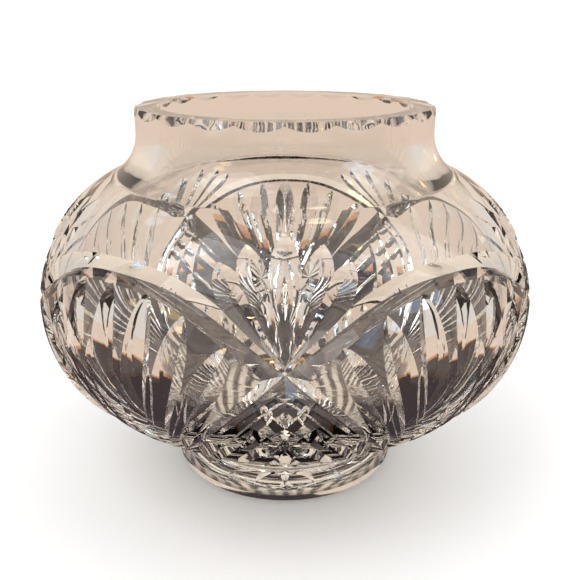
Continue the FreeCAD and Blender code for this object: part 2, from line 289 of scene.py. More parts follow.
CUT_SLOPE_SHARE = 1.25
CUT_OVERRUN = 2.5
STAR_OVERRUN = 4.0

BAND_ANGLES = (-16.0, -8.0, 0.0, 8.0, 16.0, 24.0, 30.0, 36.0, 42.0, 50.0, 57.0, 62.0, 66.0)
BAND_HEIGHT_SHARES = (0.690, 0.708, 0.712, 0.708, 0.690, 0.649, 0.604, 0.550, 0.482, 0.380,
                      0.288, 0.234, 0.165)
BAND_FADE_ANGLE = 60.0
PALMETTE_ROOT_SHARE = 0.572
PALMETTE_TIP_ANGLES = (0.0, 8.5, 13.8)
PALMETTE_TIP_SHARES = (0.803, 0.785, 0.755)
FAN_ANGLES = ((0.0, 0.0, 0.0, 0.0), (9.0, 6.7, 3.5, 1.7), (17.5, 12.3, 6.8, 3.5), (26.3, 17.6, 10.0, 5.3))
FAN_HEIGHT_SHARES = ((0.698, 0.430, 0.285, 0.205), (0.695, 0.430, 0.285, 0.205),
                     (0.664, 0.430, 0.285, 0.210), (0.616, 0.430, 0.290, 0.220))
SHORT_LEAF_ANGLES = ((3.5, 2.9, 1.6), (11.1, 9.0, 4.8), (18.0, 14.2, 7.9))
SHORT_LEAF_SHARES = ((0.572, 0.430, 0.265), (0.556, 0.420, 0.265), (0.505, 0.400, 0.275))
LATTICE_ANGLES = ((3.2, 0.0, -3.2, -10.0, -20.0), (5.4, 3.1, 0.0, -3.2, -12.0), (6.0, 2.9, 0.0, -3.0, -6.0))
LATTICE_HEIGHT_SHARES = ((0.528, 0.497, 0.467, 0.379, 0.242), (0.510, 0.467, 0.423, 0.384, 0.262),
                         (0.432, 0.386, 0.328, 0.280, 0.235))
LATTICE_LINE_SHARES = (0.85, 0.85, 1.0)
LEAF_PLACE_SHARES = (0.0, 0.05, 0.13, 0.27, 0.45, 0.65, 0.84, 1.0)
PALMETTE_DEPTH_SHARES = (-0.08, 0.36, 0.74, 1.0, 1.0, 0.90, 0.70, 0.50)
FAN_DEPTH_SHARES = (-0.06, 0.40, 0.78, 1.0, 0.98, 0.84, 0.55, 0.0)
SHORT_LEAF_DEPTH_SHARES = (-0.08, 0.36, 0.74, 1.0, 1.0, 0.85, 0.5, 0.0)
LATTICE_PLACE_SHARES = (0.0, 0.15, 0.4, 0.7, 0.9, 1.0)
LATTICE_DEPTH_SHARES = (0.35, 0.8, 0.9, 1.0, 0.8, 0.2)
# How many stretches each kind of cut has along its length
BAND_STEPS = 60
PALMETTE_STEPS = 28
FAN_STEPS = 36
SHORT_LEAF_STEPS = 24
LATTICE_STEPS = 24


class Spline:
    """A smooth line through points, with its parameter measured along the chords."""

    def __init__(self, knots, values):
        self.knots = knots
        self.values = values
        self.bends = self.second_derivatives()

    def second_derivatives(self):
        """Second derivatives of the natural cubic spline at its knots."""
        count = len(self.knots)
        lower = [0.0] * count
        right = [0.0] * count
        for i in range(1, count - 1):
            before = self.knots[i] - self.knots[i - 1]
            after = self.knots[i + 1] - self.knots[i]
            ratio = before / (before + after)
            pivot = ratio * lower[i - 1] + 2.0
            lower[i] = (ratio - 1.0) / pivot
            rise_after = (self.values[i + 1] - self.values[i]) / after
            rise_before = (self.values[i] - self.values[i - 1]) / before
            jump = rise_after - rise_before
            right[i] = (6.0 * jump / (before + after) - ratio * right[i - 1]) / pivot
        bends = [0.0] * count
        for i in range(count - 2, -1, -1):
            bends[i] = lower[i] * bends[i + 1] + right[i]
        return bends

    def at(self, place):
        """The line's value at a place."""
        i = 0
        while i < len(self.knots) - 2 and place > self.knots[i + 1]:
            i += 1
        span = self.knots[i + 1] - self.knots[i]
        a = (self.knots[i + 1] - place) / span
        b = 1.0 - a
        curve = ((a ** 3 - a) * self.bends[i] + (b ** 3 - b) * self.bends[i + 1]) * span ** 2 / 6.0
        return a * self.values[i] + b * self.values[i + 1] + curve


def depth_line(places, depths, full_depth):
    """A function that gives a cut's depth at a share of its length."""
    return Spline(list(places), [full_depth * depth for depth in depths]).at


class Cutter:
    """Makes the closed solids that the cutting wheels take out of one half repeat."""

    def __init__(self, bowl, foot):
        self.outer = Profile(bowl, foot, 0, SHOULDER_ARC_SHARE)
        self.height = bowl.height / MM
        self.belly_radius = bowl.diameter / MM / 2
        self.half_repeat = 180.0 / bowl.repeats
        self.mesh = bmesh.new()

    def on_bowl(self, angle, height):
        """A point on the bowl's outside and its outward normal."""
        radius = self.outer.radius(height)
        out, up = self.outer.normal(height)
        side = math.sin(math.radians(angle))
        front = -math.cos(math.radians(angle))
        return Vector((radius * side, radius * front, height)), Vector((out * side, out * front, up))

    def path(self, centre, turn, angles, shares):
        """Smooth lines for the angle and height of a path, and its length."""
        places = [(centre + turn * angle, self.height * share) for angle, share in zip(angles, shares)]
        knots = [0.0]
        for before, after in zip(places, places[1:]):
            across = math.radians(after[0] - before[0]) * self.belly_radius
            knots.append(knots[-1] + math.hypot(across, after[1] - before[1]))
        angle_line = Spline(knots, [place[0] for place in places])
        height_line = Spline(knots, [place[1] for place in places])
        return angle_line, height_line, knots[-1]

    def groove(self, path, depth_at, count, start=0.0):
        """A V-shaped cut along a path from a share of it. depth_at gives its depth at a share."""
        angles, heights, length = path
        step = length / 1000
        rings = []
        for index in range(count + 1):
            share = start + (1.0 - start) * index / count
            place = length * share
            point, out = self.on_bowl(angles.at(place), heights.at(place))
            late = min(length, place + step)
            early = max(0.0, place - step)
            along = (self.on_bowl(angles.at(late), heights.at(late))[0]
                     - self.on_bowl(angles.at(early), heights.at(early))[0])
            side = along.cross(out).normalized()
            depth = depth_at(share)
            half_width = (depth + CUT_OVERRUN) * CUT_SLOPE_SHARE
            keel = point - out * depth
            top = point + out * CUT_OVERRUN
            rings.append([keel, top + side * half_width, top - side * half_width])
        for turn in (1, -1):
            add_solid(self.mesh, [[(turn * place.x * MM, place.y * MM, place.z * MM) for place in ring]
                                  for ring in rings])

    def cut_band(self, depth):
        path = self.path(self.half_repeat, -1, BAND_ANGLES, BAND_HEIGHT_SHARES)

        def depth_at(share):
            angle = self.half_repeat - path[0].at(path[2] * share)
            fade = (angle - BAND_FADE_ANGLE) / (BAND_ANGLES[-1] - BAND_FADE_ANGLE)
            return depth * (1.0 - max(0.0, fade))

        # The band starts a little before the top of its arch, and runs into its mirror image there.
        start = -BAND_ANGLES[0] / 2 / (BAND_ANGLES[-1] - BAND_ANGLES[0])
        self.groove(path, depth_at, BAND_STEPS, start)

    def cut_palmette(self, depth):
        line = depth_line(LEAF_PLACE_SHARES, PALMETTE_DEPTH_SHARES, depth)
        for angle, share in zip(PALMETTE_TIP_ANGLES, PALMETTE_TIP_SHARES):
            middle = (share + PALMETTE_ROOT_SHARE) / 2
            path = self.path(0.0, 1, (angle, angle / 2, 0.0), (share, middle, PALMETTE_ROOT_SHARE))
            self.groove(path, line, PALMETTE_STEPS)

    def cut_fan(self, depth, short_depth):
        long_leaves = (FAN_ANGLES, FAN_HEIGHT_SHARES, FAN_DEPTH_SHARES, depth, FAN_STEPS)
        short_leaves = (SHORT_LEAF_ANGLES, SHORT_LEAF_SHARES, SHORT_LEAF_DEPTH_SHARES, short_depth,
                        SHORT_LEAF_STEPS)
        for angle_rows, share_rows, depths, full_depth, steps in (long_leaves, short_leaves):
            line = depth_line(LEAF_PLACE_SHARES, depths, full_depth)
            for angles, shares in zip(angle_rows, share_rows):
                # The leaf in the middle is its own mirror image.
                for turn in (-1, 1) if angles[0] > 0 else (-1,):
                    self.groove(self.path(self.half_repeat, turn, angles, shares), line, steps)

    def cut_lattice(self, depth):
        lines = zip(LATTICE_ANGLES, LATTICE_HEIGHT_SHARES, LATTICE_LINE_SHARES)
        for angles, shares, line_share in lines:
            line = depth_line(LATTICE_PLACE_SHARES, LATTICE_DEPTH_SHARES, depth * line_share)
            self.groove(self.path(0.0, 1, angles, shares), line, LATTICE_STEPS)


# Meshes


# Face attributes: what is only the side of a slice, and what the wheel has cut
SIDE_MARK = "side"
CUT_MARK = "cut"

# Distances in millimetres within which points meet, lie on the seam, the section, the axis or the joint
REPEAT_MERGE = 0.002
PART_MERGE = 0.005
SEAM_REACH = 0.01
SECTION_REACH = 0.06
AXIS_REACH = 0.01
JOINT_REACH = 0.001

# Degrees: a slice's columns, the edges that stay sharp, and how far a turned face may lean off its section
TURN_STEP = 1.0
FOOT_TURN_STEP = 0.5
SHARP_ANGLE = 22.0
TURNED_LEAN = 15.0


def new_object(name, data):
    made = bpy.data.objects.new(name, data)
    bpy.context.scene.collection.objects.link(made)
    return made


def finished_mesh(name, mesh):
    """A plain mesh of a bmesh, which is freed."""
    made = bpy.data.meshes.new(name)
    mesh.to_mesh(made)
    mesh.free()
    return made


def add_solid(mesh, rings):
    """Adds a closed solid through rings of points in metres."""
    made = [[mesh.verts.new(point) for point in ring] for ring in rings]
    faces = [mesh.faces.new(made[0]), mesh.faces.new(list(reversed(made[-1])))]
    for near, far in zip(made, made[1:]):
        for i in range(len(near)):
            j = (i + 1) % len(near)
            faces.append(mesh.faces.new((near[j], near[i], far[i], far[j])))
    bmesh.ops.recalc_face_normals(mesh, faces=faces)


def wedge_mesh(name, outline, real, degrees, step):
    """A closed slice of a turned body. real says which of the outline's edges are its surface."""
    mesh = bmesh.new()
    layer = mesh.faces.layers.int.new(SIDE_MARK)
    count = round(degrees / step)
    columns = []
    for index in range(count + 1):
        angle = math.radians(degrees * index / count)
        column = []
        for radius, height in outline:
            # A point on the axis is shared by all columns.
            if radius == 0.0 and columns:
                column.append(columns[0][len(column)])
                continue
            column.append(mesh.verts.new((radius * math.sin(angle) * MM, -radius * math.cos(angle) * MM,
                                          height * MM)))
        columns.append(column)
    for near, far in zip(columns, columns[1:]):
        for i in range(len(outline)):
            j = (i + 1) % len(outline)
            corners = []
            for vert in (near[i], far[i], far[j], near[j]):
                if vert not in corners:
                    corners.append(vert)
            if len(corners) > 2:
                mesh.faces.new(corners)[layer] = 0 if real[i] else 1
    mesh.faces.new(list(reversed(columns[0])))[layer] = 1
    mesh.faces.new(columns[-1])[layer] = 1
    bmesh.ops.recalc_face_normals(mesh, faces=mesh.faces)
    return finished_mesh(name, mesh)


def set_inputs(tree, made, inputs):
    """Sets a node's inputs by name or number, each to a value or from another node's output."""
    for key, value in inputs.items():
        if isinstance(value, bpy.types.NodeSocket):
            tree.links.new(value, made.inputs[key])
        else:
            made.inputs[key].default_value = value


def node(tree, kind, inputs=None, **settings):
    made = tree.nodes.new(kind)
    for key, value in settings.items():
        setattr(made, key, value)
    set_inputs(tree, made, inputs or {})
    return made


def repeat_tree():
    """Cuts a wedge with the islands of another object, opens its sides and repeats it round the axis."""
    tree = bpy.data.node_groups.new("Cut and Repeat", "GeometryNodeTree")
    for name, kind in (("Geometry", "Geometry"), ("Cuts", "Object"), ("Count", "Int"), ("Mirrored", "Bool"),
                       ("Join Distance", "Float"), ("Material", "Material")):
        tree.interface.new_socket(name, in_out="INPUT", socket_type="NodeSocket" + kind)
    tree.interface.new_socket("Geometry", in_out="OUTPUT", socket_type="NodeSocketGeometry")
    given = node(tree, "NodeGroupInput").outputs
    cuts = node(tree, "GeometryNodeObjectInfo", {"Object": given["Cuts"]})
    island = node(tree, "GeometryNodeInputMeshIsland")
    split = node(tree, "GeometryNodeSplitToInstances",
                 {"Geometry": cuts.outputs["Geometry"], "Group ID": island.outputs["Island Index"]},
                 domain="FACE")
    boolean = node(tree, "GeometryNodeMeshBoolean",
                   {"Mesh 1": given["Geometry"], "Mesh 2": split.outputs["Instances"]},
                   operation="DIFFERENCE", solver="MANIFOLD")
    side = node(tree, "GeometryNodeInputNamedAttribute", {"Name": SIDE_MARK}, data_type="INT")
    is_side = node(tree, "FunctionNodeCompare", {"A": side.outputs["Attribute"]},
                   data_type="INT", operation="GREATER_THAN")
    opened = node(tree, "GeometryNodeDeleteGeometry",
                  {"Geometry": boolean.outputs["Mesh"], "Selection": is_side.outputs["Result"]},
                  domain="FACE")
    mirror = node(tree, "GeometryNodeTransform",
                  {"Geometry": opened.outputs["Geometry"], "Scale": (-1.0, 1.0, 1.0)})
    flip = node(tree, "GeometryNodeFlipFaces", {"Mesh": mirror.outputs["Geometry"]})
    other_half = node(tree, "GeometryNodeSwitch", {"Switch": given["Mirrored"], "True": flip.outputs["Mesh"]},
                      input_type="GEOMETRY")
    joined = node(tree, "GeometryNodeJoinGeometry", {"Geometry": opened.outputs["Geometry"]})
    tree.links.new(other_half.outputs["Output"], joined.inputs["Geometry"])
    points = node(tree, "GeometryNodePoints", {"Count": given["Count"]})
    index = node(tree, "GeometryNodeInputIndex")
    turn = node(tree, "ShaderNodeMath", {0: index.outputs["Index"], 1: given["Count"]}, operation="DIVIDE")
    angle = node(tree, "ShaderNodeMath", {0: turn.outputs["Value"], 1: 2 * math.pi}, operation="MULTIPLY")
    rotation = node(tree, "ShaderNodeCombineXYZ", {"Z": angle.outputs["Value"]})
    instances = node(tree, "GeometryNodeInstanceOnPoints",
                     {"Points": points.outputs["Points"], "Instance": joined.outputs["Geometry"],
                      "Rotation": rotation.outputs["Vector"]})
    realized = node(tree, "GeometryNodeRealizeInstances", {"Geometry": instances.outputs["Instances"]})
    merged = node(tree, "GeometryNodeMergeByDistance",
                  {"Geometry": realized.outputs["Geometry"], "Distance": given["Join Distance"]})
    material = node(tree, "GeometryNodeSetMaterial",
                    {"Geometry": merged.outputs["Geometry"], "Material": given["Material"]})
    node(tree, "NodeGroupOutput", {"Geometry": material.outputs["Geometry"]})
    return tree


def cut_and_repeat(name, wedge, cuts, count, mirrored, material):
    """Runs the repeat tree on a wedge and gives its result as a plain mesh."""
    holder = new_object(name, wedge)
    cuts_holder = new_object(name + " Cuts", cuts)
    tree = bpy.data.node_groups.get("Cut and Repeat") or repeat_tree()
    modifier = holder.modifiers.new("Repeat", "NODES")
    modifier.node_group = tree
    given = {"Cuts": cuts_holder, "Count": count, "Mirrored": mirrored,
             "Join Distance": REPEAT_MERGE * MM, "Material": material}
    for item in tree.interface.items_tree:
        if item.in_out == "INPUT" and item.name in given:
            modifier[item.identifier] = given[item.name]
    evaluated = holder.evaluated_get(bpy.context.evaluated_depsgraph_get())
    made = bpy.data.meshes.new_from_object(evaluated)
    for used in (holder, cuts_holder):
        bpy.data.objects.remove(used)
    return made


def open_circle(mesh, height, split_radius, outside):
    """The open points at a height, outside or inside a radius, each with its angle and in its order."""
    circle = []
    for vert in mesh.verts:
        wanted = (math.hypot(vert.co.x, vert.co.y) > split_radius) == outside
        if vert.is_boundary and wanted and abs(vert.co.z - height) < SEAM_REACH * MM:
            circle.append((math.atan2(vert.co.y, vert.co.x), vert))
    circle.sort(key=lambda item: item[0])
    # The first point ends the circle too.
    circle.append((circle[0][0] + 2 * math.pi, circle[0][1]))
    return circle


def stitch(mesh, low, high, split_radius):
    """Joins the open circles at two heights with triangles, because their points don't match."""
    for outside in (True, False):
        under = open_circle(mesh, low, split_radius, outside)
        over = open_circle(mesh, high, split_radius, outside)
        i = 0
        j = 0
        while i < len(under) - 1 or j < len(over) - 1:
            if j == len(over) - 1 or (i < len(under) - 1 and under[i + 1][0] <= over[j + 1][0]):
                mesh.faces.new((under[i][1], under[i + 1][1], over[j][1]))
                i += 1
            else:
                mesh.faces.new((under[i][1], over[j + 1][1], over[j][1]))
                j += 1


def joined_mesh(name, meshes, seam=None):
    """One closed mesh of several, with the points that meet merged. seam is what stitch needs."""
    whole = bmesh.new()
    for mesh in meshes:
        whole.from_mesh(mesh)
    bmesh.ops.remove_doubles(whole, verts=whole.verts, dist=PART_MERGE * MM)
    if seam:
        stitch(whole, *seam)
        bmesh.ops.recalc_face_normals(whole, faces=whole.faces)
    open_edges = sum(1 for edge in whole.edges if not edge.is_manifold)
    print(name, "faces", len(whole.faces), "open edges", open_edges)
    return finished_mesh(name, whole)


def smooth_turned(mesh, section):
    """Gives turned faces the normals of their smooth section, and marks the other faces as cut."""
    tree = kdtree.KDTree(len(section))
    for index, (place, normal) in enumerate(section):
        tree.insert((place[0] * MM, 0.0, place[1] * MM), index)
    tree.balance()
    for polygon in mesh.polygons:
        polygon.use_smooth = True
    mesh.set_sharp_from_angle(angle=math.radians(SHARP_ANGLE))
    corners = [Vector(item.vector) for item in mesh.corner_normals]
    exact = []
    for vert in mesh.vertices:
        radius = math.hypot(vert.co.x, vert.co.y)
        index, distance = tree.find((radius, 0.0, vert.co.z))[1:]
        normal = section[index][1]
        if distance > SECTION_REACH * MM:
            exact.append(None)
        elif radius < AXIS_REACH * MM:
            exact.append(Vector((0.0, 0.0, normal[1])))
        else:
            exact.append(Vector((normal[0] * vert.co.x / radius, normal[0] * vert.co.y / radius, normal[1])))
    limit = math.cos(math.radians(TURNED_LEAN))
    cut = mesh.attributes.new(CUT_MARK, "FLOAT", "FACE")
    for polygon in mesh.polygons:
        cut.data[polygon.index].value = 1.0
        wanted = [exact[index] for index in polygon.vertices]
        if any(normal is None or normal.dot(polygon.normal) < limit for normal in wanted):
            continue
        cut.data[polygon.index].value = 0.0
        for loop, normal in zip(polygon.loop_indices, wanted):
            corners[loop] = normal
    mesh.normals_split_custom_set([tuple(normal) for normal in corners])


# Materials


# How far the scuffs reach up the foot, in millimetres
SCUFF_HEIGHT = 0.2


def crystal(name, glass):
    """Clear lead crystal, a little wavy from blowing, with polished ripples in its cuts."""
    material = bpy.data.materials.new(name)
    material.use_nodes = True
    tree = material.node_tree
    place = node(tree, "ShaderNodeTexCoord").outputs["Object"]
    waves = node(tree, "ShaderNodeTexNoise", {"Vector": place, "Scale": 60.0, "Detail": 0.0})
    wave_bump = node(tree, "ShaderNodeBump", {"Distance": glass.waviness, "Height": waves.outputs["Fac"]})
    marks = node(tree, "ShaderNodeTexWave",
                 {"Vector": place, "Scale": 75.0, "Distortion": 8.0, "Detail": 0.0, "Detail Scale": 0.5},
                 wave_type="BANDS", bands_direction="Z")
    cut = node(tree, "ShaderNodeAttribute", attribute_name=CUT_MARK)
    on_cuts = node(tree, "ShaderNodeMath", {0: marks.outputs["Fac"], 1: cut.outputs["Fac"]},
                   operation="MULTIPLY")
    mark_bump = node(tree, "ShaderNodeBump",
                     {"Distance": glass.wheel_marks, "Height": on_cuts.outputs["Value"],
                      "Normal": wave_bump.outputs["Normal"]})
    set_inputs(tree, tree.nodes["Principled BSDF"],
               {"Base Color": (*glass.tint, 1.0), "Transmission Weight": 1.0, "IOR": glass.ior,
                "Roughness": 0.0, "Normal": mark_bump.outputs["Normal"]})
    return material


def add_scuffs(material, glass):
    """Dulls the ring that the foot stands on in fine patches."""
    tree = material.node_tree
    place = node(tree, "ShaderNodeTexCoord").outputs["Object"]
    parts = node(tree, "ShaderNodeSeparateXYZ", {"Vector": place})
    low = node(tree, "ShaderNodeMapRange",
               {"Value": parts.outputs["Z"], "From Min": SCUFF_HEIGHT * MM, "From Max": 0.0})
    patches = node(tree, "ShaderNodeTexNoise", {"Vector": place, "Scale": 400.0, "Detail": 4.0})
    worn = node(tree, "ShaderNodeMath", {0: low.outputs["Result"], 1: patches.outputs["Fac"]},
                operation="MULTIPLY")
    roughness = node(tree, "ShaderNodeMath", {0: worn.outputs["Value"], 1: glass.scuffs},
                     operation="MULTIPLY")
    set_inputs(tree, tree.nodes["Principled BSDF"], {"Roughness": roughness.outputs["Value"]})


def one_shader(name, kind):
    """A material that is only one shader, with its tree and that shader."""
    material = bpy.data.materials.new(name)
    material.use_nodes = True
    tree = material.node_tree
    tree.nodes.remove(tree.nodes["Principled BSDF"])
    shader = node(tree, kind)
    tree.links.new(shader.outputs[0], tree.nodes["Material Output"].inputs["Surface"])
    return material, tree, shader


def clear_joint():
    """The hot joint of foot and bowl, where the glass is one and nothing shows."""
    return one_shader("Clear Joint", "ShaderNodeBsdfTransparent")[0]


def add_materials(mesh, material, foot):
    """Gives the mesh its crystal, and the clear joint on its flat face."""
    mesh.materials.clear()
    mesh.materials.append(material)
    mesh.materials.append(bpy.data.materials.get("Clear Joint") or clear_joint())
    for polygon in mesh.polygons:
        apart = max(abs(mesh.vertices[index].co.z - foot.height) for index in polygon.vertices)
        polygon.material_index = 1 if apart < JOINT_REACH * MM else 0


# Operators


class VASE_OT_bowl(bpy.types.Operator):
    """Make the cut crystal bowl"""
    bl_idname = "vase.bowl"
    bl_label = "Make Bowl"

    def execute(self, context):
        bowl = context.scene.rose_bowl
        foot = context.scene.rose_bowl_foot
        material = crystal("Cut Crystal", context.scene.rose_bowl_glass)
        body = self.make_body(bowl, foot, material)
        ring = self.make_ring(bowl, material)
        ring_base = bowl.height - bowl.neck_length * RIM_RING_SHARE
        seam = (ring_base, ring_base + RING_STITCH * MM, (bowl.mouth_diameter - bowl.wall) / 2)
        mesh = joined_mesh("bowl_cut", [body, ring], seam)
        outside, inside = bowl_section(bowl, foot, FINE_STEP, FINE_STEP)[:2]
        smooth_turned(mesh, outside + inside)
        add_materials(mesh, material, foot)
        piece = new_object("bowl_cut", mesh)
        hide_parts("bowl")
        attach(piece, "root")
        return {"FINISHED"}

    def make_body(self, bowl, foot, material):
        """The bowl up to the rim's ring, with its pattern of cuts."""
        outside, inside, floor = bowl_section(bowl, foot, OUTSIDE_STEP, INSIDE_STEP)
        outline = [(0.0, foot.height / MM)] + [place for place, normal in outside]
        real = [True] * len(outside) + [False]
        outline += [place for place, normal in reversed(inside)] + [(0.0, floor)]
        real += [True] * len(inside) + [False]
        wedge = wedge_mesh("Bowl Slice", outline, real, 180.0 / bowl.repeats, TURN_STEP)
        cutter = Cutter(bowl, foot)
        cutter.cut_band(bowl.band_depth / MM)
        cutter.cut_palmette(bowl.palmette_depth / MM)
        cutter.cut_fan(bowl.fan_depth / MM, bowl.short_leaf_depth / MM)
        cutter.cut_lattice(bowl.lattice_depth / MM)
        cuts = finished_mesh("Bowl Cuts", cutter.mesh)
        return cut_and_repeat("Bowl Body", wedge, cuts, bowl.repeats, True, material)

    def make_ring(self, bowl, material):
        """The rim's ring, with a shallow flute for each scallop."""
        top = bowl.height / MM
        base = top - bowl.neck_length * RIM_RING_SHARE / MM + RING_STITCH
        outer = bowl.mouth_diameter / MM / 2
        inner = outer - bowl.wall / MM
        outline = [(outer, base), (outer, top), (inner + RIM_EDGE_BEVEL, top), (inner, top - RIM_EDGE_BEVEL),
                   (inner, base)]
        pitch = 360.0 / bowl.scallops
        wedge = wedge_mesh("Ring Slice", outline, [True, True, True, True, False], pitch, TURN_STEP)
        flute = bmesh.new()
        add_solid(flute, self.flute_ends(outer, top, math.radians(pitch) / 2))
        cuts = finished_mesh("Ring Cuts", flute)
        return cut_and_repeat("Rim Ring", wedge, cuts, bowl.scallops, False, material)

    def flute_ends(self, outer, top, half_pitch):
        """Both ends of one flute, whose section is an arc of the wheel closed well outside the ring."""
        radial = Vector((math.sin(half_pitch), -math.cos(half_pitch), 0.0))
        side = Vector((math.cos(half_pitch), math.sin(half_pitch), 0.0))
        up = Vector((0.0, 0.0, 1.0))
        slant = math.hypot(SCALLOP_INSET, SCALLOP_DROP)
        along = (radial * SCALLOP_INSET - up * SCALLOP_DROP) / slant
        away = (radial * SCALLOP_DROP + up * SCALLOP_INSET) / slant
        keel_top = radial * (outer - SCALLOP_INSET) + up * top
        spread = math.asin(outer * SCALLOP_REACH_SHARE / SCALLOP_RADIUS)
        section = []
        for index in range(SCALLOP_STEPS + 1):
            angle = spread * (2 * index / SCALLOP_STEPS - 1)
            section.append(side * (SCALLOP_RADIUS * math.sin(angle))
                           + away * (SCALLOP_RADIUS * (1 - math.cos(angle))))
        section.append(section[-1] + away * outer)
        section.append(section[0] + away * outer)
        return [[(keel_top + along * reach + place) * MM for place in section]
                for reach in (-outer / 2, outer / 2)]


# The foot's upright edge and bevel in millimetres, and the stretches of its hollow side
FOOT_EDGE = 3.0
FOOT_BEVEL = 0.8
WAIST_STEPS = 24
FINE_WAIST_STEPS = 400


class VASE_OT_foot(bpy.types.Operator):
    """Make the foot with its star cut"""
    bl_idname = "vase.foot"
    bl_label = "Make Foot"

    def execute(self, context):
        foot = context.scene.rose_bowl_foot
        material = crystal("Foot Crystal", context.scene.rose_bowl_glass)
        add_scuffs(material, context.scene.rose_bowl_glass)
        radius = foot.diameter / MM / 2
        height = foot.height / MM
        outline = [(0.0, 0.0), (radius - FOOT_BEVEL, 0.0), (radius, FOOT_BEVEL)]
        outline += [place for place, normal in self.waist_arc(foot, WAIST_STEPS)] + [(0.0, height)]
        real = [True] * (len(outline) - 1) + [False]
        wedge = wedge_mesh("Foot Slice", outline, real, 180.0 / foot.star_rays, FOOT_TURN_STEP)
        rings = []
        for place, depth in ((0.0, foot.star_depth / MM), (foot.star_diameter / MM / 2, 0.0)):
            half_width = (depth + STAR_OVERRUN) * CUT_SLOPE_SHARE
            corners = ((0.0, depth), (half_width, -STAR_OVERRUN), (-half_width, -STAR_OVERRUN))
            rings.append([(x * MM, -place * MM, z * MM) for x, z in corners])
        star = bmesh.new()
        add_solid(star, rings)
        cuts = finished_mesh("Star Cuts", star)
        body = cut_and_repeat("Foot Body", wedge, cuts, foot.star_rays, True, material)
        mesh = joined_mesh("foot_star", [body])
        smooth_turned(mesh, self.waist_arc(foot, FINE_WAIST_STEPS))
        add_materials(mesh, material, foot)
        piece = new_object("foot_star", mesh)
        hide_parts("foot")
        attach(piece, "root")
        return {"FINISHED"}

    def waist_arc(self, foot, count):
        """The foot's hollow side, an arc through three places, as places with their normals."""
        height = foot.height / MM
        ax, ay = foot.diameter / MM / 2, FOOT_EDGE
        bx, by = foot.waist_diameter / MM / 2, (FOOT_EDGE + height) / 2
        cx, cy = foot.joint_diameter / MM / 2, height
        twice = 2 * (ax * (by - cy) + bx * (cy - ay) + cx * (ay - by))
        x = ((ax ** 2 + ay ** 2) * (by - cy) + (bx ** 2 + by ** 2) * (cy - ay)
             + (cx ** 2 + cy ** 2) * (ay - by)) / twice
        y = ((ax ** 2 + ay ** 2) * (cx - bx) + (bx ** 2 + by ** 2) * (ax - cx)
             + (cx ** 2 + cy ** 2) * (bx - ax)) / twice
        start = math.atan2(y - ay, x - ax)
        end = math.atan2(y - cy, x - cx)
        return arc_points((x, y), -math.hypot(ax - x, ay - y), start, end, count)


# Stage, in metres and degrees


FLOOR_HALF_SIZE = 4.0
FLOOR_DROP = 0.0006
CARD_DROP = 0.0004
CARD_RADIUS = 2.9
ROOM_RADIUS = 3.0

# Painted shade on the table card: a dark patch round the vase, standing in for its shadow on the table, with
# an orange edge. Its centre, its size, and colours from its middle out to its edge at 0.5
PAINTED_SHADE_CENTRE = (0.0, 0.01, 0.0)
PAINTED_SHADE_SIZE = (0.72, 0.36, 2.0)
PAINTED_SHADE_COLOURS = ((0.0, (0.042, 0.033, 0.038)), (0.49, (0.058, 0.044, 0.042)), (0.50, (0.55, 0.24, 0.10)),
               (0.53, (0.60, 0.28, 0.13)))
TABLE_START = 0.55

# Painted light under the foot, a pale patch in light and dark bands: the radii between which it begins, and
# the colours of its bands
PAINTED_LIGHT_LIMITS = (0.050, 0.030)
PAINTED_LIGHT_COLOURS = ((0.2, (0.10, 0.08, 0.075)), (0.8, (0.72, 0.60, 0.47)))

# The room's painted light: colours of its wall by the sine of elevation, and the limits and colours of front
# and sides
WALL_COLOURS = ((0.20, (0.90, 0.75, 0.61)), (0.60, (0.94, 0.80, 0.64)), (1.0, (0.94, 0.82, 0.67)))
FRONT_LIMITS = (-0.15, -0.40)
FRONT_COLOUR = (0.045, 0.034, 0.033)
SIDE_LIMITS = (0.50, 0.80)
SIDE_COLOUR = (0.74, 0.68, 0.62)

# Patches of the room that give the glints their colours: direction, half angle in degrees, colour
ROOM_PATCHES = (
    ("sky window", (0.75, -0.45, 0.45), 9.0, (1.6, 2.6, 3.6)),
    ("far sky window", (-0.55, 0.35, 0.75), 4.0, (1.8, 2.4, 3.0)),
    ("warm lamp", (-0.70, -0.60, 0.40), 5.0, (5.0, 3.6, 1.4)),
    ("ceiling lamp", (0.15, 0.25, 0.95), 4.0, (6.0, 5.2, 3.4)),
    ("low warm lamp", (0.35, 0.90, 0.20), 3.0, (4.0, 2.8, 1.2)),
)
PATCH_EDGE = 0.002

# Lamps: name, place, size and power
LAMPS = (("key", (-0.6, -0.5, 1.2), 0.8, 4.0), ("fill", (0.9, -0.2, 0.9), 0.8, 2.0))
LAMP_TARGET = (0.0, 0.0, 0.06)
WORLD_STRENGTH = 1.1

# Light needs this many bounces inside the cuts, where shorter paths would end black.
BOUNCES = 24
GLOSSY_BOUNCES = 6

# The camera's lens and sensor are in millimetres, and its shift is 5 of the picture's 580 columns.
LENS = 42.69
SENSOR_WIDTH = 36.0
SHIFT = 5.0 / 580.0
CAMERA_PLACE = (0.0, -0.25027, 0.16281)
CAMERA_TILT = 21.075


